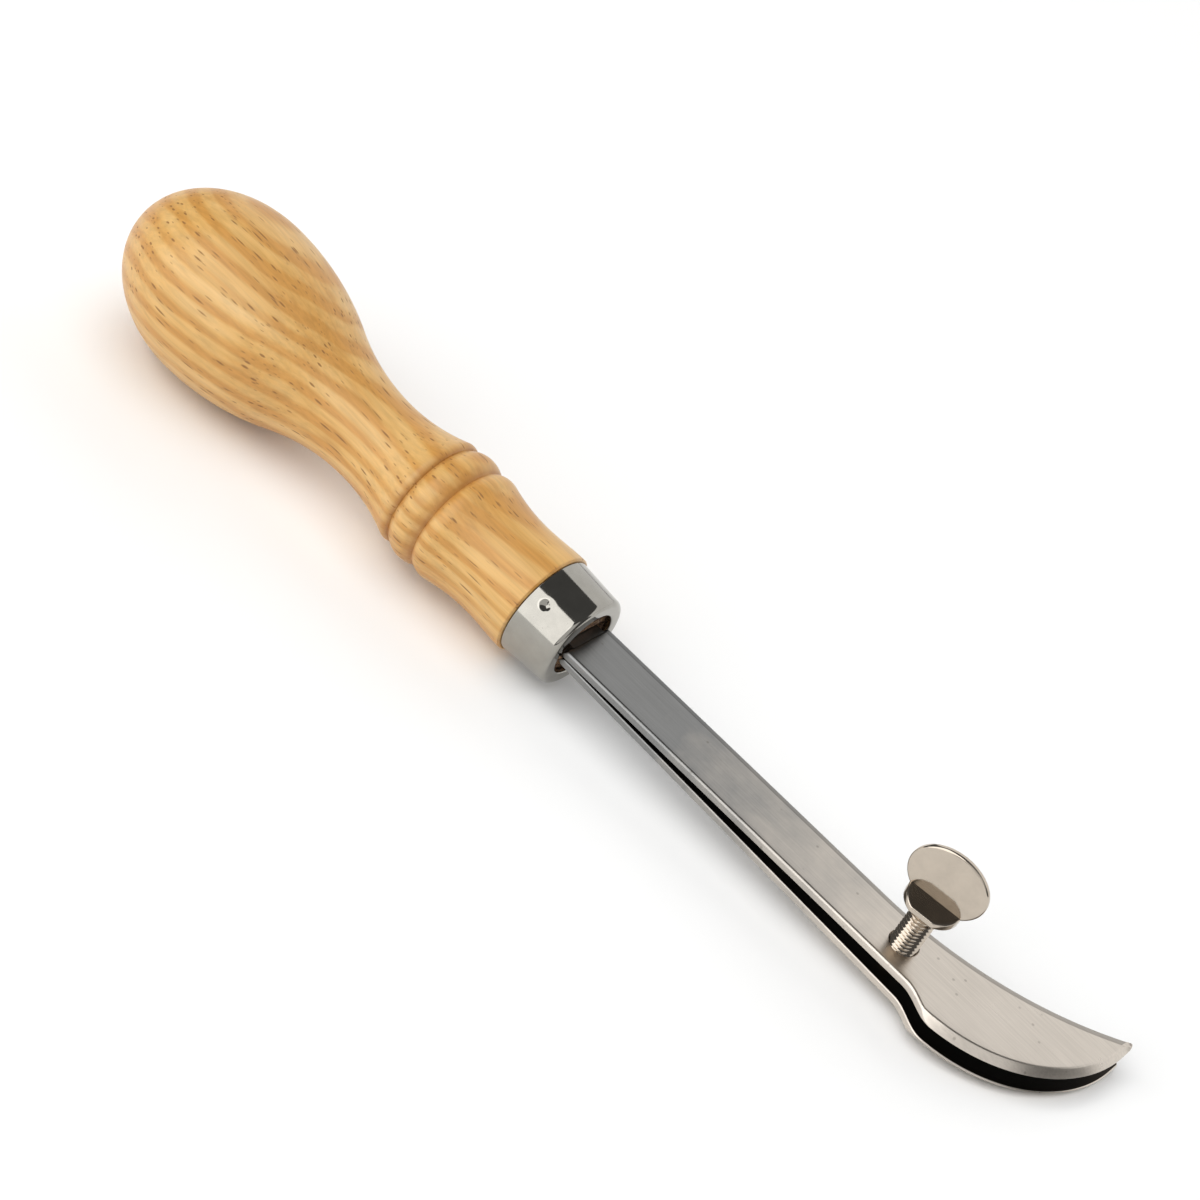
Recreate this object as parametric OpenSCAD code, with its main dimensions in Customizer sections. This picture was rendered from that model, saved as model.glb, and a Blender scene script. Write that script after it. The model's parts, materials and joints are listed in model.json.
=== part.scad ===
// Adjustable screw creaser: a turned wooden handle, a metal ferrule and two sprung steel leaves
// whose gap is set by a thumb screw. Sizes in millimetres.
// Shapes are drawn on the tool's own axis: X runs from the ferrule's front face towards the tip,
// Z is the thumb screw's side. place() then stands the whole tool on the middle of its own box.

/* [Handle] */
// Length of the wood that shows, from the ferrule to the butt
handle_len = 101; // [96:0.5:110]
// Diameter of the bulb at its widest
bulb_d = 33; // [30:0.5:36]
// Length of the round butt behind the bulb's widest place
butt_len = 21.8; // [18:0.2:24]
// Diameter of the waist
waist_d = 16.8; // [15:0.2:18]
// Distance from the ferrule to the waist
waist_at = 41.4; // [40:0.2:43]
// Diameter of the bead between the two grooves
bead_d = 22.5; // [21.5:0.1:23.5]
// Width of the bead from groove to groove
bead_w = 6; // [5:0.2:7]
// Distance from the ferrule to the middle of the bead
bead_at = 24.1; // [23.5:0.1:24.5]
// Diameter at the bottom of the grooves
groove_d = 20.4; // [19.8:0.1:20.6]
// Diameter of the shoulder that meets the ferrule
shoulder_d = 20.2; // [19.8:0.1:20.6]
// Smallest diameter of the grip between the ferrule and the grooves
grip_d = 19.3; // [18.6:0.1:19.8]

/* [Ferrule] */
// Length of the ferrule
ferrule_len = 9.6; // [8:0.1:12]
// Outer diameter at the handle end
ferrule_d = 19.2; // [18.8:0.1:20]
// Outer diameter at the front, before its edge is rounded
ferrule_front_d = 18.2; // [17.6:0.1:19]
// Wall thickness
ferrule_wall = 0.8; // [0.6:0.1:1]
// Radius of the rounded front edge
ferrule_edge = 1.1; // [0.9:0.1:1.4]
// Diameter of the hole in the front face
ferrule_hole_d = 12.7; // [12.4:0.1:13.2]

/* [Leaves] */
// Width of the straight part of a leaf
leaf_w = 11.6; // [10.8:0.1:11.8]
// Thickness of a leaf
leaf_t = 1.6; // [1.2:0.1:1.8]
// Distance from the ferrule's face to the line where a leaf flexes
flex_at = 0.8; // [0.6:0.1:1.4]
// Gap between the leaves where they leave the ferrule
root_gap = 0.12; // [0.1:0.01:0.2]
// Gap between the leaves at the screw, as the tool lies
jaw_gap = 2.5; // [1.5:0.1:3]
// Distance from the ferrule's face to the end of the leaves
tip_at = 107.1; // [104:0.1:110]
// Radius of the round creasing edge
crease_r = 26.1; // [24:0.1:27]
// Sideways distance from the tool's axis to the end of the creasing edge
crease_side = 17.6; // [16:0.2:19]
// Width of the bevel on the outer side of the creasing edge
crease_bevel = 1.1; // [0.6:0.1:1.6]
// Width of the shallow bevel along the outer side of the back
back_bevel = 1.4; // [0.8:0.1:1.8]
// Distance from the ferrule's face to the start of the hollow back
back_at = 64; // [60:1:68]
// Radius of the hollow back
back_r = 68; // [64:1:72]
// Width of a tang inside the handle
tang_w = 8; // [6:0.5:9]
// Length of a tang behind the ferrule's face
tang_len = 44; // [30:1:50]

/* [Thumb screw] */
// Distance from the ferrule's face to the screw
screw_at = 71.9; // [66:0.1:73]
// Outer diameter of the thread
screw_d = 4.9; // [4.8:0.05:5]
// Thread pitch
pitch = 0.8; // [0.7:0.1:1]
// Depth of the thread
thread_depth = 0.45; // [0.3:0.05:0.5]
// Play between the thread and the upper leaf's hole, each side
screw_play = 0.3; // [0.25:0.05:0.4]
// Height of the collar's underside above the upper leaf
collar_at = 9.6; // [8:0.1:11]
// Diameter of the collar
collar_d = 9.8; // [9:0.1:11]
// Thickness of the collar
collar_t = 1; // [0.8:0.1:1.5]
// Width of the collar across its two flats
collar_flats = 8.8; // [8:0.1:9.6]
// How much the collar's sloping shoulders rise to the flat head
collar_rise = 0.95; // [0.6:0.05:1.2]
// Width of the flat head
head_w = 14.2; // [12:0.2:16]
// Height of the whole oval that the flat head is cut from
head_h = 12; // [10:0.2:13]
// Height of the top of the head above the upper leaf
head_top = 21.4; // [20:0.1:22]
// Thickness of the flat head
head_t = 1.2; // [1:0.1:1.5]
// How far the flat head is turned from the tool's axis, in degrees
head_turn = 8; // [0:1:180]

/* [Hidden] */
$fn = 96;

play = 0.05; // between parts that are fitted or glued together
eps = 0.01; // overlap that makes cuts clean
wood_depth = 0.4; // how far the end grain lies behind the ferrule's front wall
shoulder_bevel = 0.3; // bevel on the wood where it meets the ferrule
bulb_arc = 52; // radius of the bulb's long side
neck_arc = 36; // radius of the waist on its ferrule side
grip_arc = 36; // radius of the hollow of the grip
grip_at = 9; // distance from the ferrule to the thinnest place of the grip
roll_arc = 4; // radius of the grip's roll into the front groove
roll_start = 18; // where that roll starts
lip_arc = 1.6; // radius of the waist's roll into the rear groove
slot_w = 12.2; // wide mouth of the slot in the end grain
slot_h = 3.9; // height of that mouth
slot_depth = 4; // depth of that mouth
tang_taper = 9; // length over which a tang narrows to its end
tang_end_w = 3; // width of a tang's end
dent_at = -6.3; // punched dent in the ferrule, from the front face
dent_side = 136; // its angle round the ferrule, from +Y towards +Z
dent_r = 0.9;
dent_depth = 0.45;
hollow_start = 76.5; // where the leaf's near edge starts to swell into the creasing edge
hollow_len = 8; // length of that swelling
tip_round = 0.8; // radius of the leaf's end corner
crease_land = 0.2; // upright part that the bevel leaves at the creasing edge
bevel_start = 78; // where the creasing edge's bevel may begin, inside the swelling
back_drop = 0.5; // depth of the bevel along the back
bevel_step = 0.05; // how far that bevel stays outside the back's lower edge
hole_bevel = 0.25; // bevel at the top of the screw hole
nose_r = 1.4; // radius of the flat at the screw's domed end
nose_h = 0.9; // length of the domed end
seat_play = 0.04; // between the screw's end and the lower leaf

x_butt = -(ferrule_len + handle_len);
half_leaf = leaf_w / 2;
flex_z = root_gap / 2 + leaf_t / 2;
screw_reach = screw_at - flex_at;
spread = asin((jaw_gap - root_gap) / 2 / screw_reach);
neck_r = waist_d / 2;
bulb_r = bulb_d / 2;
bulb_at = handle_len - butt_len;
// two arcs that meet smoothly between the waist and the bulb share this sum of radii
rise = bulb_r - neck_r;
run = bulb_at - waist_at;
arc_sum = (run * run + rise * rise) / (2 * rise);
waist_arc = arc_sum - bulb_arc;
meet_angle = asin(run / arc_sum);
bead_sag = (bead_d - groove_d) / 2;
bead_arc = (bead_w * bead_w / 4 + bead_sag * bead_sag) / (2 * bead_sag);
bead_angle = asin(bead_w / 2 / bead_arc);
// Points along an arc, from one angle to another
function arc(x, y, r, a0, a1, n) =
  [for (i = [0:n]) let (a = a0 + (a1 - a0) * i / n) [x + r * cos(a), y + r * sin(a)]];

function smooth(u) = let (v = max(0, min(1, u))) v * v * (3 - 2 * v);

// The handle's outline: distance behind the ferrule, then radius
roll_drop = roll_start - grip_at;
roll_tilt = asin(roll_drop / grip_arc);
roll_x = roll_start + roll_arc * sin(roll_tilt);
roll_r = grip_d / 2 + grip_arc * (1 - cos(roll_tilt)) - roll_arc * cos(roll_tilt);
front_groove = bead_at - bead_w / 2;
rear_groove = bead_at + bead_w / 2;
lip_start = rear_groove + 1.7;
lip_tilt = asin((waist_at - lip_start) / neck_arc);
lip_x = lip_start - lip_arc * sin(lip_tilt);
lip_r = neck_r + neck_arc * (1 - cos(lip_tilt)) - lip_arc * cos(lip_tilt);
handle_outline = concat(
  [[0, shoulder_d / 2 - shoulder_bevel]],
  [for (i = [0:6]) let (s = max(shoulder_bevel, grip_at * i / 7))
    [s, grip_d / 2 + (shoulder_d - grip_d) / 4 * (1 + cos(180 * s / grip_at))]],
  arc(grip_at, grip_d / 2 + grip_arc, grip_arc, -90, -90 + roll_tilt, 6),
  arc(roll_x, roll_r, roll_arc, 90 + roll_tilt - 3, 90 - 30, 6),
  [[front_groove, groove_d / 2]],
  arc(bead_at, bead_d / 2 - bead_arc, bead_arc, 90 + bead_angle - 4, 90 - bead_angle + 4, 9),
  [[rear_groove, groove_d / 2]],
  arc(lip_x, lip_r, lip_arc, 90 + 38, 90 - lip_tilt, 4),
  arc(waist_at, neck_r + neck_arc, neck_arc, -90 - lip_tilt + 3, -90, 6),
  arc(waist_at, neck_r + waist_arc, waist_arc, -87, -90 + meet_angle, 7),
  arc(bulb_at, bulb_r - bulb_arc, bulb_arc, 90 + meet_angle - 3, 90, 8),
  [for (i = [1:17]) [bulb_at + butt_len * sin(90 * i / 18), bulb_r * cos(90 * i / 18)]],
  [[handle_len, 0]]
);

// A leaf's outline from the flex line to the tip, on the tool's axis
crease_x = tip_at - crease_r;
function crease_y(x) = crease_side - sqrt(pow(crease_r, 2) - pow(x - crease_x, 2));
function near_edge(x) =
  -half_leaf + smooth((x - hollow_start) / hollow_len) * (crease_y(x) + half_leaf);
function back_y(x) = half_leaf + back_r - sqrt(pow(back_r, 2) - pow(x - back_at, 2));
back_end = tip_at - tip_round;
crease_from = -90 + asin((hollow_start + hollow_len - crease_x) / crease_r);
leaf_outline = concat(
  [[flex_at, -half_leaf], [hollow_start, -half_leaf]],
  [for (i = [1:7]) let (x = hollow_start + hollow_len * i / 8) [x, near_edge(x)]],
  arc(crease_x, crease_side, crease_r, crease_from, 0, 20),
  arc(back_end, back_y(back_end) - tip_round, tip_round, 0, 90, 4),
  [for (i = [1:14]) let (x = back_end + (back_at - back_end) * i / 14) [x, back_y(x)]],
  [[flex_at, half_leaf]]
);

// The middle of the tool's own box, on the surface that the bulb stands on
mid_x = (x_butt + flex_at + (tip_at - flex_at) * cos(spread) + leaf_t / 2 * sin(spread)) / 2;
mid_y = (back_y(back_end) - bulb_r) / 2;
module place() {
  translate([-mid_x, -mid_y, bulb_r]) children();
}

// Puts a flat leaf at its own angle on its side of the tool: side is 1 above and -1 below
module on_leaf(side) {
  translate([flex_at, 0, side * flex_z])
    rotate([0, -side * spread, 0])
      translate([-flex_at, 0, 0])
        children();
}

module leaf_blank() {
  translate([0, 0, -leaf_t / 2])
    linear_extrude(leaf_t)
      polygon(leaf_outline);
  translate([flex_at, half_leaf, 0])
    rotate([90, 0, 0])
      cylinder(d = leaf_t, h = leaf_w);
}

// A leaf with its two outer bevels, for its side of the tool
module bevelled_leaf(side) {
  outer_z = leaf_t / 2;
  crease_slope = crease_bevel / (leaf_t - crease_land); // mm across for each mm of height
  back_slope = back_bevel / back_drop;
  over = 0.5; // how far the cutters reach past the faces that they cut
  mirror([0, 0, side > 0 ? 0 : 1])
    difference() {
      leaf_blank();
      // everything outside a cone about the centre of the creasing edge's arc
      difference() {
        translate([bevel_start, -leaf_w, -outer_z])
          cube([tip_at, 4 * leaf_w, leaf_t + over]);
        translate([crease_x, crease_side, -outer_z - over])
          cylinder(
            r1 = crease_r + (crease_land + over) * crease_slope,
            r2 = crease_r - crease_bevel - 2 * over * crease_slope,
            h = leaf_t + 3 * over
          );
      }
      // the straight back, cut a little narrower, then the hollow back
      translate([back_at, half_leaf + 2 * bevel_step, outer_z])
        rotate([0, -90, 0])
          linear_extrude(back_at - flex_at + leaf_t)
            polygon([
              [-back_drop, 0], [-back_drop, 1], [over, 1],
              [over, -back_bevel - over * back_slope]
            ]);
      translate([back_at, half_leaf + back_r, outer_z - back_drop])
        cylinder(
          r1 = back_r - bevel_step,
          r2 = back_r - bevel_step + back_bevel + over * back_slope,
          h = back_drop + over
        );
    }
}

module upper_leaf() {
  color("#a5a39e")
    place()
      on_leaf(1)
        difference() {
          bevelled_leaf(1);
          translate([screw_at, 0, -leaf_t])
            cylinder(r = screw_d / 2 + screw_play, h = 2 * leaf_t);
          translate([screw_at, 0, leaf_t / 2 - hole_bevel])
            cylinder(
              r1 = screw_d / 2 + screw_play, r2 = screw_d / 2 + screw_play + hole_bevel + eps,
              h = hole_bevel + eps
            );
        }
}

module lower_leaf() {
  color("#9b9994")
    place()
      on_leaf(-1)
        bevelled_leaf(-1);
}

// Flat shape of a tang, grown by g
module tang_shape(g) {
  half = tang_w / 2 + g;
  half_end = tang_end_w / 2 + g;
  polygon([
    [flex_at, -half], [flex_at, half], [tang_taper - tang_len, half],
    [-tang_len - g, half_end], [-tang_len - g, -half_end], [tang_taper - tang_len, -half]
  ]);
}

module tang(side) {
  difference() {
    translate([0, 0, side * flex_z - leaf_t / 2])
      linear_extrude(leaf_t)
        tang_shape(0);
    translate([flex_at, tang_w, side * flex_z])
      rotate([90, 0, 0])
        cylinder(d = leaf_t + 2 * play, h = 2 * tang_w);
  }
}

module upper_tang() {
  color("#8f8d89") place() tang(1);
}

module lower_tang() {
  color("#8f8d89") place() tang(-1);
}

// Radius of the ferrule's outside at a place x
ferrule_rise = (ferrule_d - ferrule_front_d) / 2;
function ferrule_r(x) =
  ferrule_front_d / 2 + ferrule_rise * (-x - ferrule_edge) / (ferrule_len - ferrule_edge);

module ferrule() {
  edge_r = ferrule_r(-ferrule_edge) - ferrule_edge;
  hole_r = ferrule_hole_d / 2;
  color("#b9b7b2")
    place()
      rotate([0, -90, 0])
        difference() {
          rotate_extrude()
            polygon(concat(
              [[hole_r, ferrule_wall], [hole_r, 0.2], [hole_r + 0.2, 0]],
              arc(edge_r, ferrule_edge, ferrule_edge, -90, 0, 8),
              [[ferrule_d / 2 - 0.15, ferrule_len - 0.15], [ferrule_d / 2 - 0.3, ferrule_len]],
              [[ferrule_d / 2 - ferrule_wall, ferrule_len]],
              [[ferrule_r(-ferrule_edge) - ferrule_wall, ferrule_wall]]
            ));
          translate([ferrule_r(dent_at) * sin(dent_side), ferrule_r(dent_at) * cos(dent_side), -dent_at])
            rotate([0, 90, 90 - dent_side])
              translate([0, 0, -dent_depth])
                cylinder(r1 = 0.2, r2 = dent_r + 0.3, h = dent_depth + 0.3);
        }
}

module handle() {
  tenon_end = ferrule_wall + wood_depth;
  color("#dcb277")
    place()
      difference() {
        rotate([0, -90, 0])
          rotate_extrude()
            polygon(concat(
              [[0, tenon_end], [ferrule_r(-tenon_end) - ferrule_wall - play, tenon_end]],
              [[ferrule_d / 2 - ferrule_wall - play, ferrule_len]],
              [for (p = handle_outline) [p[1], ferrule_len + p[0]]]
            ));
        translate([0, 0, -root_gap / 2 - leaf_t - play])
          linear_extrude(root_gap + 2 * leaf_t + 2 * play)
            tang_shape(play);
        translate([-tenon_end - slot_depth, -slot_w / 2, -slot_h / 2])
          cube([slot_depth + eps, slot_w, slot_h]);
      }
}

// The collar under the flat head: round, with two flats and a shoulder that slopes to each flat
module collar() {
  r = collar_d / 2;
  flat_y = collar_flats / 2;
  ridge_y = head_t / 2;
  ridge_z = collar_t + collar_rise;
  intersection() {
    rotate_extrude()
      polygon([[0, 0], [r - 0.2, 0], [r, 0.2], [r, ridge_z + 1], [0, ridge_z + 1]]);
    rotate([90, 0, 90])
      translate([0, 0, -collar_d])
        linear_extrude(2 * collar_d)
          polygon([
            [-flat_y, -1], [flat_y, -1], [flat_y, collar_t], [ridge_y, ridge_z],
            [-ridge_y, ridge_z], [-flat_y, collar_t]
          ]);
  }
}

// The thumb screw stands square to the upper leaf and its domed end rests on the lower leaf
module thumb_screw() {
  top = leaf_t / 2; // the upper leaf's top face
  screw_r = screw_d / 2;
  root_r = screw_r - thread_depth;
  // down the screw's axis, from the middle of the upper leaf to the lower leaf's inner face
  drop = (screw_reach * sin(2 * spread) + 2 * flex_z * cos(spread) - leaf_t / 2) / cos(2 * spread);
  tip = seat_play - drop;
  thread_start = tip + nose_h + 0.2;
  turns = floor((top + collar_at - 0.2 - thread_start) / pitch);
  color("#cfc8bd")
    place()
      on_leaf(1)
        translate([screw_at, 0, 0])
          rotate([0, 0, head_turn]) {
            rotate_extrude()
              polygon(concat(
                [[0, tip], [nose_r * 0.6, tip + 0.05], [nose_r, tip + 0.25], [root_r, tip + nose_h]],
                [for (i = [0:turns - 1], k = [0:1]) k == 0
                  ? [root_r, thread_start + i * pitch]
                  : [screw_r, thread_start + (i + 0.5) * pitch]],
                [[root_r, thread_start + turns * pitch], [root_r, top + collar_at + collar_t / 2]],
                [[0, top + collar_at + collar_t / 2]]
              ));
            translate([0, 0, top + collar_at])
              collar();
            translate([0, head_t / 2, top + head_top - head_h / 2])
              rotate([90, 0, 0])
                linear_extrude(head_t)
                  intersection() {
                    polygon([for (i = [0:47]) [head_w / 2 * cos(7.5 * i), head_h / 2 * sin(7.5 * i)]]);
                    translate([-head_w, collar_at + collar_t / 2 - head_top + head_h / 2])
                      square([2 * head_w, head_h]);
                  }
          }
}

handle();
ferrule();
upper_tang();
lower_tang();
upper_leaf();
lower_leaf();
thumb_screw();
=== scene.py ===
import json
import math
from functools import partial
import bpy
import bmesh
import numpy as np
from mathutils import Matrix, Vector


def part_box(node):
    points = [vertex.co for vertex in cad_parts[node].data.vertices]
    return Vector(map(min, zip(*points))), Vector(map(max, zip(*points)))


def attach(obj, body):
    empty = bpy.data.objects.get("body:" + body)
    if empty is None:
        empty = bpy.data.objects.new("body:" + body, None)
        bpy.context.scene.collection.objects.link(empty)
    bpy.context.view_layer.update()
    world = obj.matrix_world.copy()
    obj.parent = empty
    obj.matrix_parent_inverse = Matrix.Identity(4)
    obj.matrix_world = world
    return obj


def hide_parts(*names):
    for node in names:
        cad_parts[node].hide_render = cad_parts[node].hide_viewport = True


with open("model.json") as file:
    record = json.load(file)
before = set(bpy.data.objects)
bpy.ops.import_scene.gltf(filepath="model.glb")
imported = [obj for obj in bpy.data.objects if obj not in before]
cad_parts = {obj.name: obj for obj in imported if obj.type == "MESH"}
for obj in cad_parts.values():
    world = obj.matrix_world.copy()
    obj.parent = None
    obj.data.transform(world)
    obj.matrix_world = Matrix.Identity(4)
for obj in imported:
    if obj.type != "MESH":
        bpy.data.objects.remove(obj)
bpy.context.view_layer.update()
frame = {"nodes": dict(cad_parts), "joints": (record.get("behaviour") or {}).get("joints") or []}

joints = {joint["name"]: joint for joint in frame["joints"]}
mm = 0.001
mergeDistance, collapseDistance = 2e-6, 1e-7  # metres, for seams and poles of the grids

# The tool's own axes: X from the ferrule's front face towards the tip, Z towards the thumb screw
ferruleLow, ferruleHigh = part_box("ferrule")
toolOrigin = np.array([
    ferruleHigh.x, (ferruleLow.y + ferruleHigh.y) / 2, (ferruleLow.z + ferruleHigh.z) / 2])
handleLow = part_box("handle")[0]
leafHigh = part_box("upper_leaf")[1]
screwAxis = joints["screw_turn"]["axis"]
spread = math.atan2(screwAxis[0], -screwAxis[2])  # angle between a leaf and the tool's axis
flexX = joints["upper_leaf_flex"]["pos_m"][0] - toolOrigin[0]
flexZ = joints["upper_leaf_flex"]["pos_m"][2] - toolOrigin[2]
print("frame loaded, leaf angle", round(math.degrees(spread), 3))


def gridFaces(rows, cols, closed):
    # quads between neighbouring rows and columns; closed joins the last column to the first
    i, j = np.meshgrid(np.arange(rows - 1), np.arange(cols if closed else cols - 1), indexing="ij")
    k = (j + 1) % cols
    corners = [i * cols + j, i * cols + k, (i + 1) * cols + k, (i + 1) * cols + j]
    return np.stack(corners, -1).reshape(-1, 4)


def makePiece(name, grids, body, nodes, sharpAngle=35, attributes=None):
    # grids: list of (points of shape rows x cols x 3 on the tool's own axes, closed). Doubles are
    # merged and collapsed faces dropped, so poles and seams close; then all faces turn outwards.
    points, faces, start = [], [], 0
    for grid, closed in grids:
        rows, cols = grid.shape[:2]
        points.append(grid.reshape(-1, 3))
        faces.append(gridFaces(rows, cols, closed) + start)
        start += rows * cols
    points = np.concatenate(points) + toolOrigin
    faces = np.concatenate(faces)
    mesh = bpy.data.meshes.new(name)
    mesh.vertices.add(len(points))
    mesh.vertices.foreach_set("co", points.ravel())
    mesh.loops.add(faces.size)
    mesh.loops.foreach_set("vertex_index", faces.ravel().astype(np.int32))
    mesh.polygons.add(len(faces))
    mesh.polygons.foreach_set("loop_start", np.arange(0, faces.size, 4, dtype=np.int32))
    mesh.update(calc_edges=True)
    for label, values in (attributes or {}).items():
        layer = mesh.attributes.new(label, "FLOAT", "POINT")
        layer.data.foreach_set("value", np.concatenate(values).ravel())
    work = bmesh.new()
    work.from_mesh(mesh)
    bmesh.ops.remove_doubles(work, verts=work.verts, dist=mergeDistance)
    bmesh.ops.dissolve_degenerate(work, edges=work.edges, dist=collapseDistance)
    bmesh.ops.recalc_face_normals(work, faces=work.faces)
    work.to_mesh(mesh)
    work.free()
    mesh.shade_smooth()
    mesh.set_sharp_from_angle(angle=math.radians(sharpAngle))
    piece = bpy.data.objects.new(name, mesh)
    bpy.context.scene.collection.objects.link(piece)
    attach(piece, body)
    if nodes:
        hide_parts(*nodes)
    print(name, len(mesh.polygons), "faces")
    return piece


def arcPoints(x, r, radius, fromDeg, toDeg, count):
    # points of a circular arc about (x, r)
    a = np.radians(np.linspace(fromDeg, toDeg, count))
    return np.stack([x + radius * np.cos(a), r + radius * np.sin(a)], -1)


def smoothStep(t):
    t = np.clip(t, 0, 1)
    return t * t * (3 - 2 * t)


def denser(outline, step):
    # the same outline with points no further apart than step
    lengths = np.hypot(*np.diff(outline, axis=0).T)
    counts = np.maximum(1, np.ceil(lengths / step)).astype(int)
    along = np.concatenate([i + np.arange(n) / n for i, n in enumerate(counts)] + [[len(counts)]])
    index = np.arange(len(outline))
    return np.stack([np.interp(along, index, values) for values in outline.T], -1)


def newMaterial(name):
    material = bpy.data.materials.new(name)
    material.use_nodes = True
    nodes, links = material.node_tree.nodes, material.node_tree.links
    return material, nodes, links, nodes["Principled BSDF"]


def addNode(nodes, links, kind, inputs=None, **settings):
    # makes a node, sets its settings, and sets or links each named or numbered input
    node = nodes.new(kind)
    for key, value in settings.items():
        setattr(node, key, value)
    for key, value in (inputs or {}).items():
        if isinstance(value, bpy.types.NodeSocket):
            links.new(value, node.inputs[key])
        else:
            node.inputs[key].default_value = value
    return node


def rampOf(nodes, links, value, stops):
    # colour ramp through (position, colour) stops
    ramp = nodes.new("ShaderNodeValToRGB")
    links.new(value, ramp.inputs[0])
    elements = ramp.color_ramp.elements
    while len(elements) < len(stops):
        elements.new(0.5)
    for element, (position, colour) in zip(elements, stops):
        element.position = position
        element.color = (*colour, 1)
    return ramp.outputs[0]


def mathOf(nodes, links, operation, a, b=0.0, clamp=False):
    node = addNode(
        nodes, links, "ShaderNodeMath", {0: a, 1: b}, operation=operation, use_clamp=clamp)
    return node.outputs[0]


def mixOf(nodes, links, amount, a, b, blend="MIX"):
    node = nodes.new("ShaderNodeMix")
    node.data_type, node.blend_type = "RGBA", blend
    for socket, value in ((node.inputs[0], amount), (node.inputs[6], a), (node.inputs[7], b)):
        if isinstance(value, bpy.types.NodeSocket):
            links.new(value, socket)
        else:
            socket.default_value = value if isinstance(value, float) else (*value, 1)
    return node.outputs[2]


def noiseOf(nodes, links, place, scale, detail, roughness=0.5, distortion=0.0, output="Fac"):
    # noise at one scale, or drawn out where scale has a value for each axis
    if not isinstance(scale, float):
        mapped = addNode(nodes, links, "ShaderNodeMapping", {"Vector": place, "Scale": scale})
        place, scale = mapped.outputs[0], 1.0
    return addNode(nodes, links, "ShaderNodeTexNoise", {
        "Vector": place, "Scale": scale, "Detail": detail, "Roughness": roughness,
        "Distortion": distortion}).outputs[output]


def speckOf(nodes, links, place, scale, solid, edge):
    # scattered round specks: 1 within solid of a cell's centre, 0 beyond edge
    cell = addNode(nodes, links, "ShaderNodeTexVoronoi", {"Vector": place, "Scale": scale})
    return rampOf(nodes, links, cell.outputs["Distance"], [(solid, grey(1.0)), (edge, grey(0.0))])


def pointValue(nodes, links, label):
    # a mesh's own value at each point
    return addNode(nodes, links, "ShaderNodeAttribute", attribute_name=label).outputs["Fac"]


def boundTo(nodes, links):
    # the helpers above, bound to one material's nodes
    words = [partial(mathOf, nodes, links, word) for word in ("ADD", "SUBTRACT", "MULTIPLY")]
    helpers = (addNode, rampOf, mixOf, noiseOf, pointValue, speckOf)
    return words + [partial(helper, nodes, links) for helper in helpers]


def bumpInto(nodes, links, shader, height, strength, distance):
    bump = addNode(nodes, links, "ShaderNodeBump", {
        "Height": height, "Strength": strength, "Distance": distance})
    links.new(bump.outputs[0], shader.inputs["Normal"])


def grey(value):
    return (value, value, value)


woodLook = {
    "pale": (0.75, 0.50, 0.215), "tan": (0.655, 0.38, 0.118), "gold": (0.565, 0.278, 0.064),
    "ringShare": 0.30, "stainShare": 0.95, "streakShare": 0.55,  # what makes the tone
    "ringWidth": 3.4 * mm, "ringPlace": (0.0, 0.020, 0.016), "ringTilt": (0.0, 0.055, -0.075),
    "wander": 10 * mm,
    "pore": (0.25, 0.11, 0.030), "poreStrength": 0.86, "finePoreStrength": 0.65,
    # width, length, size in its cell, share of early wood that has them, seed
    "widePores": (0.95 * mm, 9.0 * mm, 0.24, 0.75, 3.1),
    "finePores": (0.60 * mm, 5.0 * mm, 0.25, 0.55, 7.7),
    "burnt": (0.40, 0.17, 0.035),
    "endDark": (0.035, 0.015, 0.008), "endGrain": (0.20, 0.10, 0.045),
    "endPale": (0.55, 0.36, 0.20),
    "roughness": 0.32, "coat": 0.20, "coatRoughness": 0.28, "shine": 0.4,
    "bump": 0.35, "bumpHeight": 0.12 * mm,
}


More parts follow.
